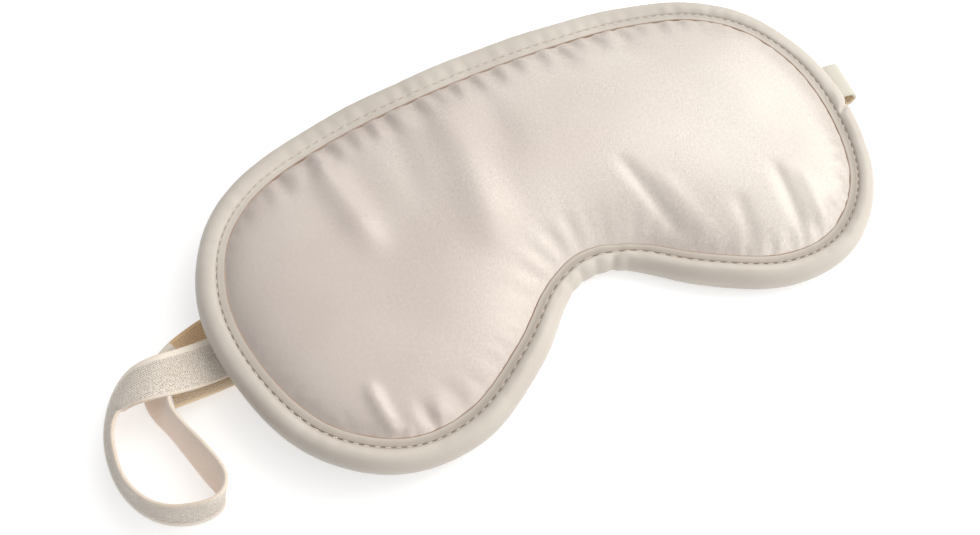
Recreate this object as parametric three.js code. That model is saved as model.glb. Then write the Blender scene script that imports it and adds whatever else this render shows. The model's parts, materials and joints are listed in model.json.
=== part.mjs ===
// Padded satin sleep mask with a bias-bound edge and one elastic strap, lying on its back.
// Millimetres. X runs along the mask, Y from the nose towards the forehead, Z out of the front.
// The origin is the bottom centre of the whole object's bounding box.
//
// Every soft layer is made in two halves that meet, with a small gap, at the fold line over
// the nose, so that the mask can fold back to back. The strap leaves the left half, stands on
// its edge in a loop, runs back under the whole mask and ends in a fold at the right half.
import * as THREE from 'three';

// ---- driving dimensions ------------------------------------------------------------------

// Right half of the outline, from the middle of the top edge round to the nose notch.
const HALF_OUTLINE = [
  [0, 57.4], [28, 56.3], [54, 52.7], [78, 44.2], [93, 30], [99.9, 8], [97.2, -18],
  [86, -41.7], [66, -55.5], [46, -55.6], [24.3, -44.2], [8, -31.8], [0, -29.2],
];
const OUTLINE_STEPS = 30;
const OUTLINE_DIVISIONS = 1200;    // how finely the outline's length is measured

const FOLD_GAP = 0.6;          // between the halves at the fold line
const EDGE_INSET = 8;          // outline to the edge of the pad's layers
const CROWN_RUN = 26;          // distance over which the pad rises to its full height
const PAD_CENTRE = [48, 2];    // middle of a half, where its mesh rings meet
const PAD_RINGS = [1, 0.82, 0.52];
const FOLD_LINE_STEPS = 4;

// The strap's layers hold the mask's ends off the surface it lies on.
const LIFT_LEFT = 6;
const LIFT_RIGHT = 4;
const LIFT_FROM = 45;
const LIFT_TO = 95;

// Layers from back to front: lowest and highest z at the pad's edge and at its crown.
const LAYERS = [
  { name: 'back_cover', edge: [1.9, 2.5], crown: [1.9, 2.5], color: 0xd9cec4, roughness: 0.5 },
  { name: 'rear_wadding', edge: [2.8, 4.0], crown: [2.8, 5.8], color: 0xf2f0ea, roughness: 0.95 },
  { name: 'blackout_layer', edge: [4.3, 4.9], crown: [6.1, 6.7], color: 0x2b2a2c, roughness: 0.9 },
  { name: 'front_wadding', edge: [5.2, 6.4], crown: [7.0, 11.4], color: 0xf2f0ea, roughness: 0.95 },
  { name: 'front_cover', edge: [6.7, 7.3], crown: [11.7, 12.3], color: 0xe6dacd, roughness: 0.35 },
];

// Section of the binding as [distance in from the outline, z]: a puffed roll round the edge,
// and a flat flange on the front that the topstitching runs along.
const BINDING_SECTION = [
  [6.4, 3.4], [5.2, 0.9], [3.2, 0], [1.0, 1.0], [0, 4.2], [0.9, 7.2],
  [3.0, 8.4], [5.0, 8.0], [7.6, 8.1], [7.6, 7.4], [6.2, 7.1],
];
const ROLL_MIDDLE = [3.6, 4.2];
const LAP_AT = 0.277;          // where the tape's ends overlap, as a share of the outline
const LAP_FROM_POINT = 2;      // the part of the section that the overlap goes round
const LAP_TO_POINT = 7;
const LAP_LENGTH = 9;
const LAP_CLEARANCE = 0.35;
const LAP_THICKNESS = 0.5;
const LAP_STEPS = 4;

const THREAD_SIZE = 0.4;
const FRONT_THREAD = [6.9, 8.7];   // distance in from the outline, z
const BACK_THREAD = [6.9, 1.1];

const STRAP_WIDTH = 12.7;
const STRAP_THICKNESS = 1;
const STRAP_Y = -4.3;              // middle of the strap where it is sewn to the mask
const ROUTE_STEPS_PER_STATION = 2;

// The loop at the left, station by station. The first point of a pair is on the edge that
// starts as the upper one at the anchor and stands on the surface round the loop, and the
// second is on the other edge.
const STRAP_ROUTE = [
  [[-90, 2.1, 5.2], [-90, -10.6, 5.2]],
  [[-99.2, 2.1, 5.2], [-99.2, -10.6, 5.2]],
  [[-105.2, 1.7, 7.0], [-105.2, -11.2, 7.2]],
  [[-108.0, 1.2, 8.3], [-108.4, -11.6, 8.8]],
  [[-112.6, 0.3, 9.9], [-113.4, -12.4, 11.3]],
  [[-118.3, 0.5, 8.3], [-118.2, -11.6, 12.2]],
  [[-122.3, 0.9, 5.3], [-121.0, -10.9, 11.8]],
  [[-125.8, 0.2, 2.6], [-123.4, -10.5, 10.9]],
  [[-128.6, -2.2, 1.0], [-125.0, -11.0, 10.6]],
  [[-131.0, -6.5, 0.4], [-126.4, -12.6, 11.0]],
  [[-132.7, -11.5, 0.35], [-127.4, -15.2, 11.5]],
  [[-133.3, -17.5, 0.35], [-127.9, -19.5, 11.9]],
  [[-132.6, -25.0, 0.35], [-127.8, -26.5, 12.3]],
  [[-130.0, -32.0, 0.35], [-126.0, -31.8, 12.6]],
  [[-126.3, -37.0, 0.35], [-123.3, -36.0, 12.8]],
  [[-121.0, -40.6, 0.35], [-119.3, -39.2, 13.0]],
  [[-115.5, -41.9, 0.35], [-114.5, -41.0, 13.1]],
  [[-111.8, -41.4, 0.35], [-110.3, -41.9, 13.1]],
  [[-110.0, -39.8, 0.35], [-107.2, -41.3, 12.8]],
  [[-110.9, -37.2, 0.35], [-105.4, -39.0, 12.0]],
  [[-112.8, -33.5, 0.35], [-105.4, -35.3, 11.2]],
  [[-114.4, -27.5, 0.35], [-106.8, -28.6, 10.9]],
  [[-116.4, -20.5, 0.35], [-109.2, -22.2, 10.9]],
  [[-118.4, -13.0, 0.42], [-111.6, -16.4, 10.0]],
  [[-119.2, -6.0, 0.5], [-111.2, -12.0, 7.0]],
  [[-118.0, -1.0, 0.53], [-109.4, -8.3, 4.6]],
  [[-115.4, 3.0, 0.5], [-106.6, -5.6, 2.8]],
  [[-111.4, 6.2, 0.5], [-103.6, -3.6, 1.2]],
  [[-106.4, 8.7, 0.5], [-101.2, -2.8, 0.6]],
  [[-100.5, 10.3, 0.5], [-97.5, -2.1, 0.5]],
  [[-93.0, 10.9, 0.5], [-92.0, -1.8, 0.5]],
];

// Pieces cut from the route: first and last station. Between 1 and 2, and again between
// 27.8 and 29.6, the elastic bends at the hinge and has no solid.
const ROUTE_PIECES = [
  ['strap_anchor_left', 0, 1],
  ['strap_hinge_upper', 2, 2.9],
  ['strap_leaving_left', 3, 5.4],
  ['strap_corner', 5.45, 9],
  ['strap_loop_side', 9.05, 13],
  ['strap_loop_bottom', 13.05, 17],
  ['strap_loop_turn', 17.05, 20],
  ['strap_return_outer', 20.05, 23],
  ['strap_return_under', 23.05, 26.9],
  ['strap_hinge_lower', 27, 27.8],
  ['strap_run_entry', 29.6, 30],
];

const TAIL = { from: -99.2, to: -90, z: 3.9, drop: 1.2 };
const TACK = { length: 10, width: 1.6, thickness: 0.5 };
const TACK_X = 94;                 // distance of each bar tack from the fold line
const TACK_UNDER_TAIL = 0.6;       // bar tack's middle below the tail's lower face
const TACK_RIGHT_Z = 2.1;

// The run under the mask: middle of the strap as [x, y], straight between these points.
const RUN_LEFT = [[-91.7, 4.5], [-70, 3.2], [-40, 1.2], [-FOLD_GAP / 2, 0]];
const RUN_RIGHT = [[FOLD_GAP / 2, 0], [40, -1.6], [70, -3.2], [99, STRAP_Y]];

// The fold at the right end, as [x, z] along the middle of the elastic's thickness.
const RIGHT_FOLD = [
  [90, 3.2], [97, 3.2], [101.5, 3.9], [103.8, 3.9], [105, 2.4], [104.2, 0.8], [101.5, 0.5],
  [99.3, 0.5],
];

// ---- colours and finishes ----------------------------------------------------------------

const BINDING_COLOR = 0xd6cbbe;
const BINDING_ROUGHNESS = 0.4;
const THREAD_COLOR = 0xe9e0d3;
const THREAD_ROUGHNESS = 0.6;
const ELASTIC_COLOR = 0xddd2c4;
const ELASTIC_ROUGHNESS = 0.8;

// ---- outline -----------------------------------------------------------------------------

const mirroredHalf = HALF_OUTLINE.slice(1, -1).reverse().map(([x, y]) => [-x, y]);
const outline = new THREE.CatmullRomCurve3(
  [...HALF_OUTLINE, ...mirroredHalf].map(([x, y]) => new THREE.Vector3(x, y, 0)), true,
);
outline.arcLengthDivisions = OUTLINE_DIVISIONS;

// A point of the outline moved inwards; share runs from 0 at the top to 0.5 at the notch.
function insetPoint(share, inset) {
  const point = outline.getPointAt(share);
  const tangent = outline.getTangentAt(share);
  return new THREE.Vector2(
    Math.max(point.x + tangent.y * inset, FOLD_GAP / 2),
    point.y - tangent.x * inset,
  );
}

const outlineShares = Array.from({ length: OUTLINE_STEPS + 1 }, (_, i) => (0.5 * i) / OUTLINE_STEPS);
const outlinePoints = outlineShares.map((share) => insetPoint(share, 0));

function distanceFromOutline(x, y) {
  const point = new THREE.Vector3(x, y, 0);
  const nearest = new THREE.Vector3();
  let least = Infinity;
  for (let i = 0; i < OUTLINE_STEPS; i += 1) {
    const a = outlinePoints[i];
    const b = outlinePoints[i + 1];
    const edge = new THREE.Line3(new THREE.Vector3(a.x, a.y, 0), new THREE.Vector3(b.x, b.y, 0));
    edge.closestPointToPoint(point, true, nearest);
    least = Math.min(least, nearest.distanceTo(point));
  }
  return least;
}

// Height that the strap under it gives the mask; side is -1 for the left half, 1 for the right.
function liftAt(x, side) {
  const height = side < 0 ? LIFT_LEFT : LIFT_RIGHT;
  return height * THREE.MathUtils.smoothstep(x, LIFT_FROM, LIFT_TO);
}

// ---- meshes ------------------------------------------------------------------------------

function namedMesh(name, geometry, color, roughness) {
  const material = new THREE.MeshStandardMaterial({ color, roughness, metalness: 0 });
  const mesh = new THREE.Mesh(geometry, material);
  mesh.name = name;
  return mesh;
}

// A closed geometry from points and triangles. The left half is made from the right half's
// points, mirrored, so its triangles are turned over.
function solid(points, triangles, side = 1) {
  const geometry = new THREE.BufferGeometry();
  const positions = points.flatMap((p) => [p.x * side, p.y, p.z]);
  const index = side < 0 ? triangles.map(([a, b, c]) => [a, c, b]) : triangles;
  geometry.setAttribute('position', new THREE.Float32BufferAttribute(positions, 3));
  geometry.setIndex(index.flat());
  geometry.computeVertexNormals();
  return geometry;
}

// A solid skinned over a row of closed sections that each have the same number of points,
// listed anticlockwise as seen looking back along the row.
function loft(sections, capSection, side = 1) {
  const count = sections[0].length;
  const triangles = [];
  for (let row = 0; row + 1 < sections.length; row += 1) {
    for (let i = 0; i < count; i += 1) {
      const j = (i + 1) % count;
      const a = row * count + i;
      const b = row * count + j;
      triangles.push([a, b, b + count], [a, b + count, a + count]);
    }
  }
  const last = (sections.length - 1) * count;
  const clockwise = THREE.ShapeUtils.isClockWise(capSection);
  for (const [a, b, c] of THREE.ShapeUtils.triangulateShape([...capSection], [])) {
    const [p, q, r] = clockwise ? [a, c, b] : [a, b, c];
    triangles.push([p, r, q], [last + p, last + q, last + r]);
  }
  return solid(sections.flat(), triangles, side);
}

// ---- the pad's layers --------------------------------------------------------------------

function padBoundary() {
  const edge = outlineShares.map((share) => insetPoint(share, EDGE_INSET));
  const top = edge[0];
  const notch = edge[edge.length - 1];
  const foldLine = [];
  for (let i = 1; i < FOLD_LINE_STEPS; i += 1) {
    foldLine.push(new THREE.Vector2().lerpVectors(notch, top, i / FOLD_LINE_STEPS));
  }
  return [...edge, ...foldLine];
}

const padBoundaryPoints = padBoundary();

function padPoints() {
  const centre = new THREE.Vector2(...PAD_CENTRE);
  const rings = PAD_RINGS.flatMap((scale) => (
    padBoundaryPoints.map((p) => new THREE.Vector2().lerpVectors(centre, p, scale))
  ));
  return [...rings, centre];
}

const padPlan = padPoints();
const padCrown = padPlan.map((p) => {
  const run = (distanceFromOutline(p.x, p.y) - EDGE_INSET) / CROWN_RUN;
  return 1 - (1 - THREE.MathUtils.clamp(run, 0, 1)) ** 2;
});

function padLayer(layer, side) {
  const face = (level) => padPlan.map((p, i) => {
    const z = THREE.MathUtils.lerp(layer.edge[level], layer.crown[level], padCrown[i]);
    return new THREE.Vector3(p.x, p.y, z + liftAt(p.x, side));
  });
  const count = padBoundaryPoints.length;
  const size = padPlan.length;
  const triangles = [];
  const addBoth = (a, b, c) => triangles.push([a + size, c + size, b + size], [a, b, c]);
  for (let i = 0; i < count; i += 1) {
    const j = (i + 1) % count;
    for (let ring = 0; ring + 1 < PAD_RINGS.length; ring += 1) {
      const outer = ring * count;
      const inner = outer + count;
      addBoth(outer + i, outer + j, inner + j);
      addBoth(outer + i, inner + j, inner + i);
    }
    const lastRing = (PAD_RINGS.length - 1) * count;
    addBoth(lastRing + i, lastRing + j, size - 1);
    triangles.push([i, i + size, j + size], [i, j + size, j]);
  }
  return solid([...face(0), ...face(1)], triangles, side);
}

// ---- binding and stitching ---------------------------------------------------------------

function sectionAt(share, section, side) {
  return section.map(([inset, z]) => {
    const plan = insetPoint(share, inset);
    return new THREE.Vector3(plan.x, plan.y, z + liftAt(plan.x, side));
  });
}

function sweepRound(shares, section, side) {
  const cap = section.map(([inset, z]) => new THREE.Vector2(inset, z));
  return loft(shares.map((share) => sectionAt(share, section, side)), cap, side);
}

// The overlapping end of the tape, a thin sleeve round the outside of the roll.
function lapSection() {
  const outer = BINDING_SECTION.slice(LAP_FROM_POINT, LAP_TO_POINT + 1);
  const middle = new THREE.Vector2(...ROLL_MIDDLE);
  const grow = (distance) => outer.map(([inset, z]) => {
    const out = new THREE.Vector2(inset, z).sub(middle);
    return out.setLength(out.length() + distance).add(middle).toArray();
  });
  return [...grow(LAP_CLEARANCE + LAP_THICKNESS), ...grow(LAP_CLEARANCE).reverse()];
}

function bindingLap() {
  const half = LAP_LENGTH / 2 / outline.getLength();
  const shares = Array.from({ length: LAP_STEPS + 1 }, (_, i) => (
    LAP_AT + half * ((2 * i) / LAP_STEPS - 1)
  ));
  return sweepRound(shares, lapSection(), 1);
}

function stitchLine([inset, z], side) {
  const square = [[-1, -1], [1, -1], [1, 1], [-1, 1]];
  const section = square.map(([across, up]) => (
    [inset - (across * THREAD_SIZE) / 2, z + (up * THREAD_SIZE) / 2]
  ));
  return sweepRound(outlineShares, section, side);
}

// ---- strap -------------------------------------------------------------------------------

// A flat ribbon between two edges, each a list of points, with the strap's thickness.
function ribbon(upperEdge, lowerEdge) {
  const middles = upperEdge.map((p, i) => p.clone().add(lowerEdge[i]).multiplyScalar(0.5));
  const sections = upperEdge.map((upper, i) => {
    const lower = lowerEdge[i];
    const before = middles[Math.max(i - 1, 0)];
    const after = middles[Math.min(i + 1, middles.length - 1)];
    const along = after.clone().sub(before);
    const across = lower.clone().sub(upper);
    const normal = along.cross(across).setLength(STRAP_THICKNESS / 2);
    return [
      upper.clone().add(normal), upper.clone().sub(normal),
      lower.clone().sub(normal), lower.clone().add(normal),
    ];
  });
  const cap = [[0, 1], [0, -1], [1, -1], [1, 1]].map(([x, y]) => new THREE.Vector2(x, y));
  return loft(sections, cap);
}

function routeEdge(edge) {
  const points = STRAP_ROUTE.map((pair) => new THREE.Vector3(...pair[edge]));
  return new THREE.CatmullRomCurve3(points, false, 'centripetal');
}

const routeEdges = [routeEdge(0), routeEdge(1)];

function routePiece(from, to) {
  const last = STRAP_ROUTE.length - 1;
  const steps = Math.max(1, Math.round((to - from) * ROUTE_STEPS_PER_STATION));
  const edges = routeEdges.map((curve) => (
    Array.from({ length: steps + 1 }, (_, i) => (
      curve.getPoint((from + ((to - from) * i) / steps) / last)
    ))
  ));
  return ribbon(...edges);
}

// The elastic lying flat on the surface under the mask.
function flatRun(middle) {
  const level = STRAP_THICKNESS / 2;
  const edge = (offset) => middle.map(([x, y]) => new THREE.Vector3(x, y + offset, level));
  return ribbon(edge(-STRAP_WIDTH / 2), edge(STRAP_WIDTH / 2));
}

function rightFold() {
  const edge = (offset) => RIGHT_FOLD.map(([x, z]) => new THREE.Vector3(x, STRAP_Y + offset, z));
  return ribbon(edge(-STRAP_WIDTH / 2), edge(STRAP_WIDTH / 2));
}

// The strap's folded-under end, sewn in behind the left edge.
function strapTail() {
  const edge = (offset) => [TAIL.to, TAIL.from].map((x) => (
    new THREE.Vector3(x, STRAP_Y - TAIL.drop + offset, TAIL.z)
  ));
  return ribbon(edge(STRAP_WIDTH / 2), edge(-STRAP_WIDTH / 2));
}

function barTack() {
  return new THREE.BoxGeometry(TACK.width, TACK.length, TACK.thickness);
}

// ---- assembly ----------------------------------------------------------------------------

const mask = new THREE.Group();

for (const [side, suffix] of [[-1, 'left'], [1, 'right']]) {
  for (const layer of LAYERS) {
    mask.add(namedMesh(`${layer.name}_${suffix}`, padLayer(layer, side), layer.color, layer.roughness));
  }
  const binding = sweepRound(outlineShares, BINDING_SECTION, side);
  mask.add(namedMesh(`binding_${suffix}`, binding, BINDING_COLOR, BINDING_ROUGHNESS));
  const frontThread = stitchLine(FRONT_THREAD, side);
  mask.add(namedMesh(`topstitch_front_${suffix}`, frontThread, THREAD_COLOR, THREAD_ROUGHNESS));
  const backThread = stitchLine(BACK_THREAD, side);
  mask.add(namedMesh(`topstitch_back_${suffix}`, backThread, THREAD_COLOR, THREAD_ROUGHNESS));
}
mask.add(namedMesh('binding_lap', bindingLap(), BINDING_COLOR, BINDING_ROUGHNESS));

for (const [name, from, to] of ROUTE_PIECES) {
  mask.add(namedMesh(name, routePiece(from, to), ELASTIC_COLOR, ELASTIC_ROUGHNESS));
}
mask.add(namedMesh('strap_tail_left', strapTail(), ELASTIC_COLOR, ELASTIC_ROUGHNESS));
mask.add(namedMesh('strap_run_left', flatRun(RUN_LEFT), ELASTIC_COLOR, ELASTIC_ROUGHNESS));
mask.add(namedMesh('strap_run_right', flatRun(RUN_RIGHT), ELASTIC_COLOR, ELASTIC_ROUGHNESS));
mask.add(namedMesh('strap_fold_right', rightFold(), ELASTIC_COLOR, ELASTIC_ROUGHNESS));

const tackLeft = namedMesh('bar_tack_left', barTack(), THREAD_COLOR, THREAD_ROUGHNESS);
const tackLeftZ = TAIL.z - STRAP_THICKNESS / 2 - TACK_UNDER_TAIL;
tackLeft.position.set(-TACK_X, STRAP_Y - TAIL.drop, tackLeftZ);
const tackRight = namedMesh('bar_tack_right', barTack(), THREAD_COLOR, THREAD_ROUGHNESS);
tackRight.position.set(TACK_X, STRAP_Y, TACK_RIGHT_Z);
mask.add(tackLeft, tackRight);

const bounds = new THREE.Box3().setFromObject(mask);
const centre = bounds.getCenter(new THREE.Vector3());
mask.position.set(-centre.x, -centre.y, -bounds.min.z);

export default mask;
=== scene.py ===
"""Padded satin sleep mask with a bound edge and one elastic strap, lying on its back.

Shapes are drawn in mask millimetres: the origin is on the surface under the fold line over the
nose, X runs along the mask, Y towards the forehead and Z out of the front. metres() turns them
into the model's own frame, whose bridge_fold joint stands at that origin.
"""
import json
import math

import bpy
import numpy as np
from mathutils import Matrix, Vector
from mathutils.geometry import delaunay_2d_cdt


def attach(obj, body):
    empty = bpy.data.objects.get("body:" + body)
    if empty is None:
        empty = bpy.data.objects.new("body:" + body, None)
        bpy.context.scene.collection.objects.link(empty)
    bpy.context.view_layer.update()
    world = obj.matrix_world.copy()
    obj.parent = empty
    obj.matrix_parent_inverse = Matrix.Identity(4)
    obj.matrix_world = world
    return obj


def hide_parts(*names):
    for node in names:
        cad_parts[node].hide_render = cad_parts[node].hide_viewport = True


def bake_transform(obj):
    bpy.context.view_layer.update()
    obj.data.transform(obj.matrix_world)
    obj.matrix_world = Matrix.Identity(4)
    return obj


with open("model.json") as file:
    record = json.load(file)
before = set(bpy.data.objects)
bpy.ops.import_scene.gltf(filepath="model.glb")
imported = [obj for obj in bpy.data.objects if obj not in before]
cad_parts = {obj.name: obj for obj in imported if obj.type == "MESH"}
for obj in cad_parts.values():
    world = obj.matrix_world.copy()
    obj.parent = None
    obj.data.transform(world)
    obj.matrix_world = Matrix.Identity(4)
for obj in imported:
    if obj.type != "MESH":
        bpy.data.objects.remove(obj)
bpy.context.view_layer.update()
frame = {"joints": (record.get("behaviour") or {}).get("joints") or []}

# ---- outline and lie of the mask ------------------------------------------------------------

# Right half of the outline, from the middle of the top edge round to the nose notch.
HALF_OUTLINE = [
    (0, 56.9), (28, 55.7), (54, 52.0), (78, 43.8), (92.8, 29.8), (99.9, 8), (97.2, -18),
    (86, -41.7), (66, -55.5), (46, -55.6), (24.3, -44.2), (8, -31.8), (0, -29.2),
]
OUTLINE_STEPS = 1440
OUTLINE_SOFTENING = 6          # steps over which the outline's curvature is evened out

# The strap's layers hold the mask's ends off the surface.
LIFT_LEFT = 6.0
LIFT_RIGHT = 4.0
LIFT_FROM = 45.0
LIFT_TO = 95.0
# A lifted end also draws in towards a point above this one.
LEAN_FOOT = np.array([-74.0, -110.0])
LEAN_HEIGHT_LEFT = 207.0
LEAN_HEIGHT_RIGHT = 160.0

# ---- cover and padding ----------------------------------------------------------------------

COVER_INSET = 7.0              # outline to the hidden edge of the covers
COVER_PITCH = 1.7
COVER_EDGE_Z = 7.45
COVER_CROWN = 5.2
CROWN_RUN = 34.0
COVER_THICKNESS = 0.35

# ---- binding --------------------------------------------------------------------------------

# Section as (distance in from the outline, z): flange on the front, stitch groove, puffed roll,
# groove and flange on the back, and the inside of the roll.
BINDING_PROFILE = [
    (8.0, 7.5), (8.15, 7.85), (7.9, 8.1), (7.1, 8.15), (6.3, 8.15), (5.85, 8.05), (5.6, 7.75),
    (5.35, 8.1), (4.7, 8.6), (3.4, 8.85), (2.1, 8.5), (0.95, 7.5), (0.15, 6.0), (-0.05, 4.3),
    (0.2, 2.6), (1.1, 1.1), (2.6, 0.15), (4.0, 0.15), (5.2, 0.6), (5.8, 1.2), (6.6, 1.05),
    (7.6, 1.05), (7.95, 1.35), (7.7, 1.7), (6.9, 1.75), (6.2, 2.3), (5.9, 4.0), (5.95, 5.6),
    (6.5, 6.75),
]
# Points of the section where the tape is folded in at the covers, and its two stitch grooves.
LIP_POINTS = (1, 2, 22)
GROOVE_POINTS = (6, 19)
PROFILE_STEPS = 3              # points drawn for each point of the section
STITCH_INSET = 5.6
STITCH_PITCH = 3.0

# ---- strap ----------------------------------------------------------------------------------

STRAP_WIDTH = 12.7
STRAP_THICKNESS = 1.0

# Stations of the loop at the left. The first point of a pair is on the edge that starts as the
# upper one at the mask and stands on the surface round the loop.
STRAP_ROUTE = [
    ((-90, 1.2, 5.2), (-90, -11.5, 5.2)),
    ((-99.2, 1.2, 5.2), (-99.2, -11.5, 5.2)),
    ((-105.2, 0.7, 7.0), (-105.2, -12.0, 7.2)),
    ((-108.0, 0.5, 8.3), (-108.4, -12.4, 8.8)),
    ((-112.8, 0.6, 9.9), (-113.4, -12.4, 11.3)),
    ((-118.6, 1.4, 8.4), (-118.2, -11.4, 12.2)),
    ((-122.9, 1.5, 5.3), (-121.2, -10.7, 11.8)),
    ((-126.2, 0.5, 2.6), (-123.6, -10.4, 10.9)),
    ((-128.8, -2.2, 1.0), (-125.0, -11.0, 10.6)),
    ((-131.0, -6.5, 0.4), (-126.4, -12.6, 11.0)),
    ((-132.7, -11.5, 0.35), (-127.4, -15.2, 11.5)),
    ((-133.3, -17.5, 0.35), (-127.9, -19.5, 11.9)),
    ((-132.6, -25.0, 0.35), (-127.8, -26.5, 12.3)),
    ((-130.0, -32.0, 0.35), (-126.0, -31.8, 12.6)),
    ((-126.3, -37.0, 0.35), (-123.3, -36.0, 12.8)),
    ((-121.0, -40.6, 0.35), (-119.3, -39.2, 13.0)),
    ((-115.5, -41.9, 0.35), (-114.5, -41.0, 13.1)),
    ((-111.8, -41.4, 0.35), (-110.3, -41.9, 13.1)),
    ((-110.0, -39.8, 0.35), (-107.2, -41.3, 12.8)),
    ((-110.9, -37.2, 0.35), (-105.6, -38.6, 12.0)),
    ((-112.8, -33.5, 0.35), (-106.2, -34.6, 11.3)),
    ((-114.6, -27.5, 0.35), (-108.4, -28.2, 11.4)),
    ((-116.6, -20.5, 0.35), (-111.0, -21.8, 11.6)),
    ((-118.4, -13.0, 0.42), (-113.0, -16.2, 10.9)),
    ((-119.0, -5.6, 0.5), (-112.6, -12.0, 8.4)),
    ((-118.2, 0.4, 0.53), (-110.4, -8.0, 5.4)),
    ((-115.6, 4.4, 0.5), (-107.6, -5.0, 3.2)),
    ((-111.2, 6.9, 0.5), (-104.6, -3.4, 1.3)),
    ((-106.2, 8.7, 0.5), (-101.6, -2.9, 0.6)),
    ((-100.5, 10.3, 0.5), (-97.5, -2.1, 0.5)),
    ((-93.0, 10.9, 0.5), (-92.0, -1.8, 0.5)),
]
STRAP_TAIL = [(-90, -7.1, 3.4), (-97, -7.1, 3.4), (-103, -6.9, 3.3), (-113.2, -6.2, 3.4)]
# The run under the mask and the fold at the right end, as (x, y, z) of the strap's middle.
STRAP_RUN = [
    (-93.0, 4.55, 0.5), (-70, 3.4, 0.5), (-40, 1.6, 0.5), (0, 0, 0.5), (40, -1.6, 0.5),
    (70, -3.0, 0.5), (92, -4.4, 0.5), (99.5, -5.3, 0.55), (103.4, -5.8, 0.9),
    (105.0, -5.7, 3.0), (103.6, -5.4, 5.1), (100.5, -4.9, 5.4), (96.5, -4.0, 4.2), (90, -2.8, 3.3),
]
FOLD_TURN = 0.21               # sideways slope of the strap across the fold at the right end

MM = 0.001
ORIGIN = np.array(next(j for j in frame["joints"] if j["name"] == "bridge_fold")["pos_m"])


def metres(points):
    return np.asarray(points, float) * MM + ORIGIN


def place(x, y, z):
    return tuple(metres((x, y, z)))


# ---- curves ---------------------------------------------------------------------------------


def smoothstep(value, low, high):
    share = np.clip((value - low) / (high - low), 0.0, 1.0)
    return share * share * (3.0 - 2.0 * share)


def lift(x):
    height = np.where(x < 0, LIFT_LEFT, LIFT_RIGHT)
    return height * smoothstep(np.abs(x), LIFT_FROM, LIFT_TO)


def lie(points):
    """Points drawn on a flat mask, moved to where its lifted ends lie."""
    points = np.asarray(points, float)
    # the roll is pulled in and flattened at the nose
    x, y, z = np.moveaxis(points, -1, 0)
    nose = np.exp(-0.5 * (((x - 6) / 17) ** 2 + ((y + 32) / 9) ** 2))
    y = y + 1.3 * nose * smoothstep(-y, 24.5, 31.0)
    points = np.stack([x, y, z * (1 - 0.2 * nose)], axis=-1)
    height = lift(points[..., 0])[..., None]
    lean_height = np.where(points[..., :1] < 0, LEAN_HEIGHT_LEFT, LEAN_HEIGHT_RIGHT)
    plan = points[..., :2] + (LEAN_FOOT - points[..., :2]) / lean_height * height
    return np.concatenate([plan, points[..., 2:] + height], axis=-1)


def spline_at(points, stations, closed=False):
    """Centripetal Catmull-Rom curve through points, read at fractional point numbers."""
    points = np.asarray(points, float)
    stations = np.asarray(stations, float)
    if closed:
        padded = np.vstack([points[-1], points, points[:2]])
        start = np.floor(stations).astype(int) % len(points)
        share = stations - np.floor(stations)
    else:
        padded = np.vstack([2 * points[0] - points[1], points, 2 * points[-1] - points[-2]])
        start = np.clip(stations.astype(int), 0, len(points) - 2)
        share = stations - start
    p0, p1, p2, p3 = (padded[start + k] for k in range(4))
    t0, t1, t2 = (
        np.maximum(np.linalg.norm(b - a, axis=1, keepdims=True) ** 0.5, 1e-4)
        for a, b in ((p0, p1), (p1, p2), (p2, p3))
    )
    m1 = ((p1 - p0) / t0 - (p2 - p0) / (t0 + t1) + (p2 - p1) / t1) * t1
    m2 = ((p2 - p1) / t1 - (p3 - p1) / (t1 + t2) + (p3 - p2) / t2) * t1
    s = share[:, None]
    return (
        p1 + m1 * s + (-3 * p1 + 3 * p2 - 2 * m1 - m2) * s ** 2
        + (2 * p1 - 2 * p2 + m1 + m2) * s ** 3
    )


def length_along(points):
    steps = np.linalg.norm(np.diff(points, axis=0), axis=1)
    return np.concatenate([[0.0], np.cumsum(steps)])


def evenly(points, count):
    """The same line with count points evenly spaced along it."""
    along = length_along(points)
    at = np.linspace(0.0, along[-1], count)
    return np.stack([np.interp(at, along, points[:, k]) for k in range(points.shape[1])], axis=1)


def softened(values, steps, closed):
    """Values evened out over a bell of that many steps along the first axis."""
    reach = np.arange(-3 * steps, 3 * steps + 1)
    bell = np.exp(-0.5 * (reach / steps) ** 2)
    bell /= bell.sum()
    mode = "wrap" if closed else "edge"
    width = [(3 * steps, 3 * steps)] + [(0, 0)] * (values.ndim - 1)
    padded = np.pad(values, width, mode=mode)
    return sum(w * padded[i:i + len(values)] for i, w in enumerate(bell))


def make_outline():
    mirrored = [(-x, y) for x, y in reversed(HALF_OUTLINE[1:-1])]
    controls = HALF_OUTLINE + mirrored
    fine = spline_at(controls, np.arange(0, len(controls) + 1 / 128, 1 / 64), closed=True)
    ring = evenly(fine, OUTLINE_STEPS + 1)[:-1]
    return softened(ring, OUTLINE_SOFTENING, closed=True)


outline = make_outline()
outline_ahead = np.roll(outline, -1, axis=0) - np.roll(outline, 1, axis=0)
outline_ahead /= np.linalg.norm(outline_ahead, axis=1, keepdims=True)
outline_inward = np.stack([outline_ahead[:, 1], -outline_ahead[:, 0]], axis=1)
outline_length = length_along(np.vstack([outline, outline[:1]]))[-1]
outline_mm = np.arange(OUTLINE_STEPS) * outline_length / OUTLINE_STEPS
NOTCH_MM = outline_length / 2


def around(centre, width):
    """A bell of that width, in mm along the outline, round a place on it."""
    away = (outline_mm - centre + outline_length / 2) % outline_length - outline_length / 2
    return np.exp(-0.5 * (away / width) ** 2)


def ring_noise(shortest, longest, seed):
    """Smooth waves along the outline with wavelengths between two lengths, about -1 to 1."""
    rng = np.random.default_rng(seed)
    waves = np.arange(int(outline_length / longest), int(outline_length / shortest) + 1)
    phase = rng.uniform(0, 2 * math.pi, len(waves))
    share = outline_mm / outline_length
    total = sum(np.sin(2 * math.pi * k * share + p) for k, p in zip(waves, phase))
    return total / math.sqrt(len(waves))


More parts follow.
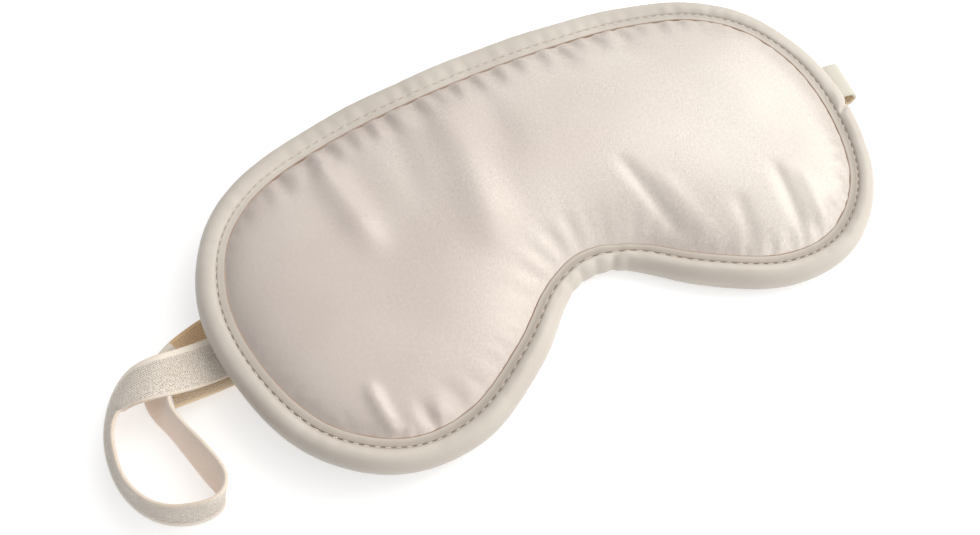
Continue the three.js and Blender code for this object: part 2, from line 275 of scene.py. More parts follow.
# The tape is widest along the forehead: how much further in its seam lies at each outline point.
seam_shift = 2.8 * around(0, 95) - 0.6


def edge_depth(plan):
    """How far in from the outline each plan point is, and its nearest outline point's number."""
    nearest = np.empty(len(plan), int)
    for start in range(0, len(plan), 1000):
        part = plan[start:start + 1000]
        away = ((part[:, None] - outline[None]) ** 2).sum(axis=2)
        nearest[start:start + 1000] = away.argmin(axis=1)
    depth = ((plan - outline[nearest]) * outline_inward[nearest]).sum(axis=1)
    return depth, nearest


def cover_depth(plan):
    """The same, but measured from the covers' hidden edge."""
    depth, nearest = edge_depth(plan)
    return depth - COVER_INSET - seam_shift[nearest], nearest


# ---- meshes ---------------------------------------------------------------------------------

UV_MM = 100.0                  # one unit of a piece's UV map is this many millimetres


def mesh_object(name, points, faces, corner_uvs, materials, face_materials=None):
    """A smooth mesh from mask millimetres. corner_uvs has one pair of mm per face corner."""
    mesh = bpy.data.meshes.new(name)
    mesh.from_pydata(metres(points).tolist(), [], [list(map(int, f)) for f in faces])
    layer = mesh.uv_layers.new(name="fabric")
    layer.data.foreach_set("uv", (np.asarray(corner_uvs, np.float32) / UV_MM).ravel())
    mesh.shade_smooth()
    for material in materials:
        mesh.materials.append(material)
    if face_materials is not None:
        mesh.polygons.foreach_set("material_index", np.asarray(face_materials, np.int32))
    obj = bpy.data.objects.new(name, mesh)
    bpy.context.scene.collection.objects.link(obj)
    return obj


def grid_quads(rows, columns, wrap_rows=False):
    """Quads of a tube: rows of points, each a closed ring of columns, and their corners."""
    last = rows if wrap_rows else rows - 1
    row, column = np.meshgrid(np.arange(last), np.arange(columns), indexing="ij")
    corners = np.stack([
        np.stack([row, row, row + 1, row + 1], axis=-1).reshape(-1, 4),
        np.stack([column, column + 1, column + 1, column], axis=-1).reshape(-1, 4),
    ], axis=-1)
    faces = (corners[..., 0] % rows) * columns + corners[..., 1] % columns
    return faces, corners


def plan_mesh(inset, pitch):
    """Evenly sized triangles that fill the outline moved in by inset and the seam's shift."""
    count = int(outline_length / pitch)
    ring = outline + outline_inward * (inset + seam_shift)[:, None]
    edge = evenly(np.vstack([ring, ring[:1]]), count + 1)[:-1]
    low = outline.min(axis=0)
    high = outline.max(axis=0)
    row_step = pitch * math.sqrt(3) / 2
    rows = np.arange(low[1], high[1], row_step)
    lattice = np.vstack([
        np.stack([np.arange(low[0] + (i % 2) * pitch / 2, high[0], pitch),
                  np.full(len(np.arange(low[0] + (i % 2) * pitch / 2, high[0], pitch)), y)], axis=1)
        for i, y in enumerate(rows)
    ])
    depth, _ = cover_depth(lattice)
    inside = lattice[depth > inset - COVER_INSET + 0.6 * pitch]
    points = np.vstack([edge, inside])
    verts, _, faces, *_ = delaunay_2d_cdt(
        [Vector(p) for p in points], [], [list(range(count))[::-1]], 1, 1e-5,
    )
    plan = np.array([tuple(v) for v in verts])
    triangles = np.array(faces)
    a, b, c = (plan[triangles[:, k]] for k in range(3))
    turn = (b - a)[:, 0] * (c - a)[:, 1] - (b - a)[:, 1] * (c - a)[:, 0]
    triangles[turn < 0] = triangles[turn < 0][:, ::-1]
    return plan, triangles


# ---- cloth ----------------------------------------------------------------------------------

# How much longer than its place the cover is cut along the seam, at shares of the outline
# clockwise from the middle of the top edge.
GATHER = [
    (0.0, 0.085), (0.10, 0.090), (0.17, 0.040), (0.23, 0.012), (0.29, 0.014), (0.32, 0.050),
    (0.36, 0.060), (0.40, 0.020), (0.47, 0.006), (0.57, 0.010), (0.61, 0.040), (0.66, 0.020),
    (0.70, 0.015), (0.79, 0.008), (0.84, 0.03), (0.88, 0.08), (0.94, 0.09),
]
GATHER_REACH = 8.0            # mm in from the seam where the spare length fades
SPARE_EVERYWHERE = 0.003
CLOTH_STEPS = 200
CLOTH_PASSES = 10
PUFF = 0.0009                  # upward push per step, mm
KEPT_SPEED = 0.9
CLOTH_EASE = 1.3               # share of each correction taken, over the springs at a point
BEND_STRENGTH = 0.18
EVENING_PASSES = 3

# Long soft folds in the settled satin: from, to, half width and height in mm.
FOLDS = [
    ((-55.0, 40.0), (-50.5, -1.0), 4.2, 1.5),
    ((-13.7, 39.6), (-21.6, -13.6), 6.0, 1.2),
    ((-31.0, 40.0), (-34.0, 6.0), 4.0, -0.5),
    ((-2.0, 44.0), (-4.0, 10.0), 4.5, -0.5),
    ((21.8, -3.0), (26.2, -33.0), 1.9, -0.65),
    ((28.5, -12.0), (33.0, -38.0), 2.6, 0.35),
    ((44.7, -28.0), (41.1, -45.0), 1.9, -0.4),
    ((59.4, -24.0), (55.2, -48.0), 1.9, -0.65),
    ((66.0, -28.0), (62.0, -50.0), 2.2, 0.4),
    ((30.0, 50.0), (27.0, 28.0), 2.6, -0.5),
    ((52.0, 46.0), (46.0, 26.0), 2.8, -0.4),
    ((-77.0, -36.0), (-74.0, -48.0), 1.0, -1.0),
    ((-68.0, -32.0), (-66.8, -50.0), 1.5, 1.1),
    ((-59.5, -42.0), (-57.5, -51.0), 0.9, -0.6),
    ((-56.2, -43.0), (-53.5, -51.5), 1.0, 0.6),
    ((-52.5, -45.0), (-50.5, -53.0), 0.9, -0.7),
]


def springs_of(triangles):
    """The sides of all triangles, and for each inner side the two corners that face it."""
    sides = np.sort(triangles[:, [[0, 1], [1, 2], [2, 0]]].reshape(-1, 2), axis=1)
    facing = triangles[:, [2, 0, 1]].reshape(-1)
    order = np.lexsort((sides[:, 1], sides[:, 0]))
    sides = sides[order]
    facing = facing[order]
    same = (sides[1:] == sides[:-1]).all(axis=1)
    first = np.concatenate([[True], ~same])
    across = np.stack([facing[:-1][same], facing[1:][same]], axis=1)
    border = np.unique(sides[first & np.concatenate([~same, [True]])])
    return sides[first], across, border


def settle(points, springs, rest, strength, pinned, support):
    """Lets cloth come to rest: springs keep their lengths, and the padding puffs it up."""
    a = springs[:, 0]
    b = springs[:, 1]
    load = np.bincount(springs.ravel(), minlength=len(points))
    ease = CLOTH_EASE / load[:, None]
    free = np.ones((len(points), 1))
    free[pinned] = 0.0
    before = points.copy()
    for _ in range(CLOTH_STEPS):
        speed = (points - before) * KEPT_SPEED
        before = points.copy()
        points = points + speed * free
        points[:, 2] += PUFF * free[:, 0]
        for _ in range(CLOTH_PASSES):
            span = points[b] - points[a]
            size = np.linalg.norm(span, axis=1)
            pull = (0.5 * strength * (1 - rest / size))[:, None] * span
            shift = np.stack([
                np.bincount(a, pull[:, k], len(points)) - np.bincount(b, pull[:, k], len(points))
                for k in range(3)
            ], axis=1)
            points = points + shift * ease * free
        points[:, 2] = np.maximum(points[:, 2], support)
    return points


def rise(depth, low, high):
    """Height that goes from low at the covers' hidden edge to high over the padding."""
    share = np.clip(depth / CROWN_RUN, 0.0, 1.0)
    return low + (high - low) * (1 - (1 - share) ** 2.2)


def folds(plan):
    """How far the long folds raise or sink the cover at each plan point."""
    height = np.zeros(len(plan))
    for start, end, half_width, size in FOLDS:
        run = np.subtract(end, start)
        length = np.linalg.norm(run)
        ahead = run / length
        along = (plan - start) @ ahead / length
        away = (plan - start) @ np.array([-ahead[1], ahead[0]])
        fade = smoothstep(along, -0.1, 0.2) * (1 - smoothstep(along, 0.7, 1.1))
        height += size * fade * np.exp(-(away / half_width) ** 2)
    return height


def cover_shape():
    """The front cover's points and triangles: satin gathered at its seam over soft padding."""
    plan, triangles = plan_mesh(COVER_INSET, COVER_PITCH)
    depth, nearest = cover_depth(plan)
    smooth = lie(np.column_stack([plan, rise(depth, COVER_EDGE_Z, COVER_EDGE_Z + COVER_CROWN)]))
    sides, across, border = springs_of(triangles)
    rng = np.random.default_rng(4)
    points = smooth.copy()
    points[:, 2] += rng.normal(0, 0.05, len(points))
    points[border] = smooth[border]
    share, spare = np.array(GATHER).T
    gather = np.interp(nearest / OUTLINE_STEPS, share, spare, period=1.0)
    gather = gather * np.maximum(1 + 0.7 * ring_noise(9, 50, 11), 0.1)[nearest]
    gather = gather * np.exp(-(np.maximum(depth, 0.0) / GATHER_REACH) ** 1.5)

    def rest_length(pairs):
        span = smooth[pairs[:, 1]] - smooth[pairs[:, 0]]
        size = np.linalg.norm(span, axis=1)
        along_seam = (span[:, :2] * outline_ahead[nearest[pairs[:, 0]]]).sum(axis=1) / size
        spare_here = gather[pairs].mean(axis=1) * along_seam ** 2
        return size * (1 + SPARE_EVERYWHERE + spare_here)

    springs = np.vstack([sides, across])
    rest = np.concatenate([rest_length(sides), rest_length(across)])
    strength = np.concatenate([np.ones(len(sides)), np.full(len(across), BEND_STRENGTH)])
    support = smooth[:, 2] - smoothstep(depth, 0.5, 4.0)
    settled = settle(points, springs, rest, strength, border, support)
    # the edge of the tape presses the satin flat, and the padding evens out its middle
    settled = smooth + (settled - smooth) * smoothstep(depth, 0.4, 2.6)[:, None]
    in_middle = smoothstep(depth, 8.0, 16.0)
    load = np.bincount(sides.ravel(), minlength=len(points))
    for _ in range(EVENING_PASSES):
        near = np.bincount(sides[:, 0], settled[sides[:, 1], 2], len(points))
        near = near + np.bincount(sides[:, 1], settled[sides[:, 0], 2], len(points))
        settled[:, 2] += (near / load - settled[:, 2]) * in_middle
    settled[:, 2] += folds(plan) * smoothstep(depth, 1.0, 5.0)
    return settled, triangles


# ---- materials ------------------------------------------------------------------------------


class Nodes:
    """A principled material whose node tree is drawn with short calls."""

    def __init__(self, name, **settings):
        self.material = bpy.data.materials.new(name)
        self.material.use_nodes = True
        self.tree = self.material.node_tree
        self.surface = self.tree.nodes["Principled BSDF"]
        for socket, value in settings.items():
            self.surface.inputs[socket.replace("_", " ")].default_value = value
        self.uv = self.add("ShaderNodeUVMap", uv_map="fabric").outputs["UV"]

    def add(self, kind, inputs=(), **settings):
        node = self.tree.nodes.new(kind)
        for key, value in settings.items():
            setattr(node, key, value)
        for socket, value in dict(inputs).items():
            self.put(node.inputs[socket], value)
        return node

    def put(self, socket, value):
        if isinstance(value, bpy.types.NodeSocket):
            self.tree.links.new(value, socket)
        else:
            socket.default_value = value

    def math(self, operation, *values):
        node = self.add("ShaderNodeMath", operation=operation)
        for socket, value in zip(node.inputs, values):
            self.put(socket, value)
        return node.outputs[0]

    def uv_mm(self):
        """The UV map's two directions in millimetres."""
        scaled = self.add("ShaderNodeVectorMath", {0: self.uv, "Scale": UV_MM}, operation="SCALE")
        split = self.add("ShaderNodeSeparateXYZ", {0: scaled.outputs[0]})
        return split.outputs["X"], split.outputs["Y"]

    def wave(self, length, period):
        """A sine wave along a length in mm, -1 to 1."""
        return self.math("SINE", self.math("MULTIPLY", length, 2 * math.pi / period))

    def noise(self, size, detail=2.0, roughness=0.5):
        """Noise from 0 to 1 whose blotches are about size mm."""
        node = self.add(
            "ShaderNodeTexNoise",
            {"Vector": self.uv, "Scale": UV_MM / size, "Detail": detail, "Roughness": roughness},
        )
        return node.outputs["Fac"]

    def streaks(self, width, length, turn):
        """Noise of short threads of that width and length in mm, turned that many radians."""
        across, along = self.uv_mm()
        ahead = [self.math("MULTIPLY", across, math.cos(turn) / length),
                 self.math("MULTIPLY", along, math.sin(turn) / length)]
        aside = [self.math("MULTIPLY", across, -math.sin(turn) / width),
                 self.math("MULTIPLY", along, math.cos(turn) / width)]
        place = self.add("ShaderNodeCombineXYZ", {
            "X": self.math("ADD", *ahead), "Y": self.math("ADD", *aside)}).outputs[0]
        node = self.add("ShaderNodeTexNoise", {"Vector": place, "Scale": 1.0, "Detail": 1.0})
        return node.outputs["Fac"]

    def ramp(self, value, low, high, out_low, out_high):
        node = self.add("ShaderNodeMapRange", {
            "Value": value, "From Min": low, "From Max": high, "To Min": out_low, "To Max": out_high,
        })
        return node.outputs["Result"]

    def mix(self, share, first, second, blend="MIX"):
        node = self.add("ShaderNodeMix", data_type="RGBA", blend_type=blend)
        self.put(node.inputs["Factor"], share)
        self.put(node.inputs["A"], first)
        self.put(node.inputs["B"], second)
        return node.outputs["Result"]

    def bump(self, height, distance_mm, strength=1.0):
        node = self.add("ShaderNodeBump", {
            "Height": height, "Distance": distance_mm * MM, "Strength": strength,
        })
        self.put(self.surface.inputs["Normal"], node.outputs["Normal"])

    def color(self, value):
        self.put(self.surface.inputs["Base Color"], value)

    def roughness(self, value):
        self.put(self.surface.inputs["Roughness"], value)


def rgb(red, green, blue):
    """A colour given in sRGB steps of 0 to 255."""
    def linear(step):
        share = step / 255
        return share / 12.92 if share <= 0.04045 else ((share + 0.055) / 1.055) ** 2.4
    return (linear(red), linear(green), linear(blue), 1.0)


def satin_material(name, light, dark, roughness, contrast=0.15, relief=0.01):
    """Satin with a fine broken twill, soft colour blotches, a pearly gloss and a painted sheen to the
    right.
    """
    n = Nodes(name, Sheen_Weight=0.1, Sheen_Roughness=0.4, Specular_IOR_Level=0.6, Metallic=0.1)
    across, along = n.uv_mm()
    twill = n.wave(n.math("MULTIPLY_ADD", along, 0.7, n.math("PINGPONG", across, 2.3)), 0.62)
    grain = n.ramp(n.streaks(0.45, 1.3, 0.9), 0.3, 0.7, -1.0, 1.0)
    cross_grain = n.ramp(n.streaks(0.45, 1.0, -0.6), 0.3, 0.7, -1.0, 1.0)
    patches = n.math("MULTIPLY", n.ramp(n.noise(14.0), 0.35, 0.65, 0.5, 1.0),
                     n.ramp(across, -70, -15, 0.35, 1.0))
    weave = n.math("MULTIPLY", patches, n.math("MULTIPLY_ADD", twill, 0.22, n.math(
        "MULTIPLY_ADD", grain, 0.5, n.math("MULTIPLY", cross_grain, 0.4))))
    slubs = n.noise(1.4, 3.0)
    # random colour blotches, plus a painted sheen that makes the right lobe lighter where the key
    # light's gloss falls
    blotches_and_painted_sheen = n.math("ADD", n.ramp(n.noise(38.0, 2.0), 0.3, 0.7, 0.0, 0.5),
                       n.ramp(across, -40, 60, 0.0, 0.5))
    tone = n.mix(blotches_and_painted_sheen, dark, light)
    shade = n.math("ADD", n.ramp(weave, -1, 1, 1 - contrast, 1 + contrast),
                   n.ramp(slubs, 0.3, 0.7, -0.02, 0.02))
    n.color(n.mix(1.0, tone, n.add("ShaderNodeCombineColor", {
        "Red": shade, "Green": shade, "Blue": shade}).outputs[0], "MULTIPLY"))
    n.roughness(n.ramp(n.noise(9.0), 0.3, 0.7, roughness - 0.03, roughness + 0.04))
    n.bump(weave, relief)
    return n.material


def binding_material(lips, grooves):
    """Satin tape with painted shade where it is folded in at the covers, along the stitch grooves and
    over the front flange.
    """
    n = Nodes("binding_satin", Sheen_Weight=0.1, Sheen_Roughness=0.4, Specular_IOR_Level=0.5)
    along, girth = n.uv_mm()
    weave = n.math("MULTIPLY", n.wave(n.math("ADD", along, girth), 0.7), n.wave(along, 0.55))
    tone = n.mix(n.ramp(n.noise(24.0), 0.3, 0.7, 0.0, 1.0), rgb(186, 177, 168), rgb(197, 189, 180))
    tone = n.mix(n.ramp(weave, -1, 1, 0.0, 0.12), tone, rgb(150, 138, 124))
    # 1 at the middle of the forehead, -1 at the nose
    upper = n.math("COSINE", n.math("MULTIPLY", along, 2 * math.pi / outline_length))
    # painted shade lines at the folded-in lips and in the stitch grooves; the groove shade is
    # strongest at the nose
    lip_shade_strength = n.ramp(n.noise(26.0), 0.35, 0.65, 0.5, 0.9)
    # painted shade over the front flange beside the groove, strongest at the nose and gone along the
    # forehead
    flange_shade = n.ramp(n.math("ABSOLUTE", n.math("SUBTRACT", girth, grooves[0] - 0.7)), 1.9, 0.4, 0, 1)
    flange_shade = n.math("MULTIPLY", flange_shade, n.ramp(upper, -0.4, 0.7, 0.65, 0.0))
    tone = n.mix(flange_shade, tone, rgb(142, 130, 116))
    groove_shade_strength = n.math(
        "MULTIPLY", n.ramp(upper, -0.3, 0.7, 0.85, 0.2), n.ramp(n.noise(12.0), 0.35, 0.65, 0.4, 1.0))
    # the lip and groove shade lines are painted into the tape's colour
    for places, width, depth, shade in (
        (lips, 0.3, lip_shade_strength, rgb(132, 98, 70)), (grooves, 0.22, groove_shade_strength, rgb(96, 80, 64)),
    ):
        for place_mm in places:
            away = n.math("ABSOLUTE", n.math("SUBTRACT", girth, place_mm))
            line = n.ramp(away, width, 0.3 * width, 0.0, 1.0)
            tone = n.mix(n.math("MULTIPLY", line, depth), tone, shade)
    n.color(tone)
    n.roughness(n.ramp(n.noise(9.0), 0.3, 0.7, 0.4, 0.5))
    n.bump(weave, 0.008)
    return n.material


def wadding_material():
    n = Nodes("wadding", Roughness=0.95, Sheen_Weight=0.3)
    fibres = n.noise(0.8, 5.0, 0.7)
    n.color(n.mix(fibres, rgb(226, 222, 212), rgb(250, 249, 245)))
    n.bump(fibres, 0.3)
    return n.material


def blackout_material():
    n = Nodes("blackout_cloth", Roughness=0.9)
    across, along = n.uv_mm()
    weave = n.math("MULTIPLY", n.wave(across, 0.7), n.wave(along, 0.7))
    n.color(n.mix(n.ramp(weave, -1, 1, 0, 1), rgb(30, 29, 31), rgb(52, 50, 53)))
    n.bump(weave, 0.05)
    return n.material


def elastic_material(name, light, dark, relief, selvedge_mm, rib_share):
    """Knitted elastic: fine slanting loops, ribs along it and a smooth selvedge on one side."""
    n = Nodes(name, Roughness=0.62, Sheen_Weight=0.25, Sheen_Roughness=0.5, Specular_IOR_Level=0.35)
    across, along = n.uv_mm()
    zigzag = n.math("PINGPONG", across, 1.1)
    loops = n.wave(n.math("ADD", along, zigzag), 0.62)
    ribs = n.wave(across, 0.62)
    wander = n.noise(0.6, 3.0, 0.6)
    knit = n.math("ADD", n.math("MULTIPLY_ADD", loops, 0.45 - 0.3 * rib_share, n.math(
        "MULTIPLY", ribs, 0.15 + 0.4 * rib_share)), n.ramp(wander, 0.25, 0.75, -0.6, 0.6))
    to_edge = n.math("SUBTRACT", STRAP_WIDTH / 2, across)
    selvedge = n.ramp(to_edge, selvedge_mm, selvedge_mm + 0.6, 0.15, 1.0)
    other_edge = n.ramp(n.math("ADD", STRAP_WIDTH / 2, across), 0.3, 0.8, 0.15, 1.0)
    height = n.math("MULTIPLY", knit, n.math("MULTIPLY", selvedge, other_edge))
    tone = n.mix(n.ramp(height, -1.1, 0.6, 0.0, 1.0), dark, light)
    from_rim = n.math("SUBTRACT", STRAP_WIDTH / 2, n.math("ABSOLUTE", across))
    tone = n.mix(n.ramp(from_rim, 0.0, 0.8, 0.35, 0.0), tone, dark)
    n.color(n.mix(n.ramp(n.noise(11.0), 0.35, 0.65, 0.0, 0.25), tone, dark))
    n.roughness(n.ramp(wander, 0.3, 0.7, 0.5, 0.72))
    n.bump(height, relief)
    return n.material


def thread_material():
    n = Nodes("thread", Roughness=0.45, Sheen_Weight=0.2)
    across, along = n.uv_mm()
    twist = n.wave(n.math("ADD", along, n.math("MULTIPLY", across, 0.8)), 0.5)
    n.color(n.mix(n.ramp(twist, -1, 1, 0, 1), rgb(184, 172, 156), rgb(236, 229, 218)))
    n.bump(twist, 0.04)
    return n.material


def floor_material():
    n = Nodes("pale_floor", Roughness=0.9, Specular_IOR_Level=0.1)
    n.color(n.mix(n.noise(60.0), rgb(210, 210, 210), rgb(214, 214, 214)))
    n.put(n.surface.inputs["Emission Color"], (1.0, 1.0, 1.0, 1.0))
    n.put(n.surface.inputs["Emission Strength"], 0.45)
    return n.material


front_satin = satin_material("front_satin", rgb(204, 196, 188), rgb(186, 173, 166), 0.36)
back_satin = satin_material("back_satin", rgb(206, 195, 187), rgb(196, 184, 176), 0.42)
wadding = wadding_material()
blackout = blackout_material()
elastic_crepe = elastic_material(
    "elastic_crepe", rgb(255, 247, 237), rgb(184, 164, 142), 0.2, 1.7, 0.0)
elastic_smooth = elastic_material(
    "elastic_smooth", rgb(240, 228, 219), rgb(217, 199, 182), 0.03, 0.8, 0.3)
# a copy of the elastic's ribbed back in a painted warm brown shade, for where it lies in the mask's
# shadow
elastic_ribbed_shaded = elastic_material(
    "elastic_ribbed_shaded", rgb(234, 201, 160), rgb(180, 141, 102), 0.14, 0.9, 1.0)
# a golden copy of the elastic, its tint a painted warm shade for the tail under the loop and the
# inside of the right fold
elastic_golden_shade = elastic_material(
    "elastic_golden_shade", rgb(252, 236, 212), rgb(212, 184, 148), 0.14, 0.9, 0.6)
elastic_cream = elastic_material(
    "elastic_cream", rgb(199, 195, 184), rgb(186, 181, 169), 0.03, 0.9, 0.3)
thread = thread_material()


# ---- pad layers -----------------------------------------------------------------------------


def plan_uvs(points, faces):
    return points[np.asarray(faces)][..., :2].reshape(-1, 2)


def make_front_cover():
    points, triangles = cover_shape()
    cover = mesh_object("front_cover", points, triangles, plan_uvs(points, triangles), [front_satin])
    shell = cover.modifiers.new("cloth_thickness", "SOLIDIFY")
    shell.thickness = COVER_THICKNESS * MM
    shell.offset = -1
    fine = cover.modifiers.new("fine_surface", "SUBSURF")
    fine.levels = fine.render_levels = 1
    return cover, points, triangles


def layer_shell(name, inset, pitch, bottom, top, material):
    """A closed soft layer; bottom and top are its heights at its edge and over the middle."""
    plan, triangles = plan_mesh(inset, pitch)
    depth, _ = cover_depth(plan)
    lower = lie(np.column_stack([plan, rise(depth, *bottom)]))
    upper = lie(np.column_stack([plan, rise(depth, *top)]))
    count = len(plan)
    sides = triangles[:, [[0, 1], [1, 2], [2, 0]]].reshape(-1, 2)
    seen = {tuple(s) for s in sides.tolist()}
    rim = [s for s in sides.tolist() if (s[1], s[0]) not in seen]
    walls = [(a, b, b + count) for a, b in rim] + [(a, b + count, a + count) for a, b in rim]
    faces = np.vstack([triangles[:, ::-1], triangles + count, np.array(walls)])
    points = np.vstack([lower, upper])
    obj = mesh_object(name, points, faces, plan_uvs(points, faces), [material])
    return obj


# ---- binding --------------------------------------------------------------------------------


ROLL_MIDDLE = np.array([3.1, 4.5])
groove_fill = 0.12 + 0.36 * around(0, 80)   # how much shallower the front groove is, in mm
LAP_MM = 0.269 * outline_length
NOSE_CREASES = [(-9.5, 0.25, 0.9), (-5.5, 0.55, 0.8), (-1.0, 0.35, 0.7), (3.5, 0.6, 0.8),
                (8.0, 0.35, 0.9)]  # mm from the notch, depth, width


def binding_points():
    """Rows of the binding's section round the whole outline."""
    count = len(BINDING_PROFILE) * PROFILE_STEPS
    stations = np.arange(count) / PROFILE_STEPS
    section = spline_at(BINDING_PROFILE, stations, closed=True)
    out = section - ROLL_MIDDLE
    out /= np.linalg.norm(out, axis=1, keepdims=True)
    on_roll = smoothstep(5.4 - section[:, 0], 0.0, 2.0)
    on_flange = 1 - smoothstep(6.4 - section[:, 0], 0.0, 0.8)
    on_front = smoothstep(section[:, 1], 5.0, 8.0)
    # the tape is not evenly full: long swells, and short puckers next to the seam
    swell = 0.12 * ring_noise(25, 90, 2)
    at_curves = 0.35 + around(0, 60) + 0.8 * around(NOTCH_MM, 14)
    pucker = 0.09 * ring_noise(4.5, 16, 3) * at_curves
    by_seam = np.exp(-0.5 * ((section[:, 0] - 4.2) / 1.0) ** 2) * on_front
    push = swell[:, None] * on_roll + pucker[:, None] * (by_seam + 0.25 * on_roll)
    push = push + 0.5 * pucker[:, None] * on_flange * on_front
    # creases where the roll is bent tightly at the nose, which also narrows it
    push = push - 0.35 * around(NOTCH_MM, 13)[:, None] * on_roll
    for offset, depth, width in NOSE_CREASES:
        dent = around(NOTCH_MM + offset, width)[:, None]
        push = push - depth * dent * smoothstep(4.9 - section[:, 0], 0.0, 2.0)
    # needle holes pull the groove down
    holes = np.round(outline_length / STITCH_PITCH)
    phase = (outline_mm * holes / outline_length) % 1.0
    from_hole = np.minimum(phase, 1 - phase) * STITCH_PITCH
    hole = np.exp(-0.5 * (from_hole / 0.4) ** 2)
    in_groove = np.exp(-0.5 * ((section[:, 0] - STITCH_INSET) / 0.45) ** 2)
    on_face = np.where(section[:, 1] > 4.5, 1.0, -1.0)
    # the lapped end of the tape, a step across the roll beside the strap's right end
    lap_end = LAP_MM + 0.9 * (section[:, 0] - 3.0)
    beyond = outline_mm[:, None] - lap_end[None]
    lap = 0.3 * smoothstep(beyond, -0.5, 0.5) * (1 - smoothstep(beyond, 5.0, 16.0))
    lap = lap + 0.35 * np.exp(-0.5 * ((beyond + 4.5) / 2.5) ** 2) - 0.75 * np.exp(-(beyond / 0.9) ** 2)
    push = push + lap * on_roll
    inset = section[None, :, 0] + push * out[None, :, 0]
    inset = inset + seam_shift[:, None] * smoothstep(section[:, 0], 1.0, 5.0)
    height = section[None, :, 1] + push * out[None, :, 1]
    height = height + groove_fill[:, None] * on_front * in_groove
    height = height - 0.07 * hole[:, None] * on_face * in_groove
    plan = outline[:, None] + outline_inward[:, None] * inset[..., None]
    rows = np.concatenate([plan, np.maximum(height, 0.03)[..., None]], axis=2)
    return lie(rows), section


def make_binding():
    rows, section = binding_points()
    columns = rows.shape[1]
    faces, corners = grid_quads(len(rows), columns, wrap_rows=True)
    girth = length_along(np.vstack([section, section[:1]]))
    uvs = np.stack([
        corners[..., 0] * outline_length / OUTLINE_STEPS, girth[corners[..., 1]],
    ], axis=-1)
    lips, grooves = (
        [float(girth[number * PROFILE_STEPS]) for number in numbers]
        for numbers in (LIP_POINTS, GROOVE_POINTS)
    )
    return mesh_object(
        "binding", rows.reshape(-1, 3), faces, uvs.reshape(-1, 2), [binding_material(lips, grooves)],
    )




# ---- threads --------------------------------------------------------------------------------

THREAD_RADIUS = 0.15
THREAD_SIDES = 8


def tube(path, radius):
    """Points, faces and UVs in mm of a closed thread along a path; radius may change along it."""
    path = np.asarray(path, float)
    ahead = np.gradient(path, axis=0)
    ahead /= np.linalg.norm(ahead, axis=1, keepdims=True)
    side = np.cross(ahead, [0.0, 0.0, 1.0])
    size = np.linalg.norm(side, axis=1, keepdims=True)
    side = np.where(size > 1e-6, side / np.maximum(size, 1e-6), [1.0, 0.0, 0.0])
    up = np.cross(side, ahead)
    angle = np.arange(THREAD_SIDES) * 2 * math.pi / THREAD_SIDES
    ring = side[:, None] * np.cos(angle)[None, :, None] + up[:, None] * np.sin(angle)[None, :, None]
    points = path[:, None] + ring * np.broadcast_to(radius, len(path))[:, None, None]
    faces, corners = grid_quads(len(path), THREAD_SIDES)
    along = length_along(path)
    girth = 2 * math.pi * THREAD_RADIUS / THREAD_SIDES
    uvs = np.stack([corners[..., 1] * girth, along[corners[..., 0]]], axis=-1)
    return points.reshape(-1, 3), faces, uvs


def joined_threads(name, threads):
    """One piece from many short threads, each flat end closed by one face."""
    points = []
    faces = []
    uvs = []
    start = 0
    for thread_points, quads, thread_uvs in threads:
        first = list(range(THREAD_SIDES))[::-1]
        last = [len(thread_points) - THREAD_SIDES + k for k in range(THREAD_SIDES)]
        faces += [[start + k for k in quad] for quad in quads.tolist()]
        faces += [[start + k for k in first], [start + k for k in last]]
        uvs.append(thread_uvs.reshape(-1, 2))
        uvs.append(np.zeros((2 * THREAD_SIDES, 2)))
        points.append(thread_points)
        start += len(thread_points)
    return mesh_object(name, np.vstack(points), faces, np.vstack(uvs), [thread])


def stitch_row(name, inset, surface_z, side):
    """Topstitches round the mask; side is 1 on the front and -1 on the back."""
    count = int(round(outline_length / STITCH_PITCH))
    rng = np.random.default_rng(7 if side > 0 else 8)
    threads = []
    for number in range(count):
        centre = (number + 0.5) * outline_length / count
        half = 0.39 * STITCH_PITCH
        at = (centre + np.linspace(-half, half, 9)) / outline_length * OUTLINE_STEPS
        share = np.linspace(-1, 1, 9)
        drift = rng.normal(0, 0.05) + share * rng.normal(0, 0.07)
        low = np.floor(at).astype(int)
        plan = outline[low % OUTLINE_STEPS] * (1 - (at - low))[:, None]
        plan = plan + outline[(low + 1) % OUTLINE_STEPS] * (at - low)[:, None]
        step = low % OUTLINE_STEPS
        plan = plan + outline_inward[step] * (inset + seam_shift[step] + drift)[:, None]
        arch = 0.12 - 0.55 * np.abs(share) ** 3
        height = surface_z + side * arch
        if side > 0:
            height = height + groove_fill[step]
        radius = THREAD_RADIUS * (1 - 0.45 * np.abs(share) ** 4)
        threads.append(tube(lie(np.column_stack([plan, height])), radius))
    return joined_threads(name, threads)


def bar_tack(name, x, y, z):
    """A close zigzag of thread across the strap."""
    turns = 26
    width = 1.5
    length = 10.0
    threads = []
    for number in range(turns):
        share = np.linspace(0, 1, 7)
        sweep = share if number % 2 == 0 else 1 - share
        path = np.column_stack([
            x + (sweep - 0.5) * width,
            y + ((number + share) / turns - 0.5) * length,
            z - 0.12 * np.sin(share * math.pi),
        ])
        threads.append(tube(path, THREAD_RADIUS * 0.85))
    return joined_threads(name, threads)


# ---- strap ----------------------------------------------------------------------------------

STRAP_STEP = 0.6               # mm between rows of the ribbon's mesh
FACE_COLUMNS = 16
RIM_COLUMNS = 3
LOOP_STATIONS = (3, 27)        # where the loop's own piece of the route starts and ends
TWIST_STATION = 24.6           # past this the strap's ribbed back is seen


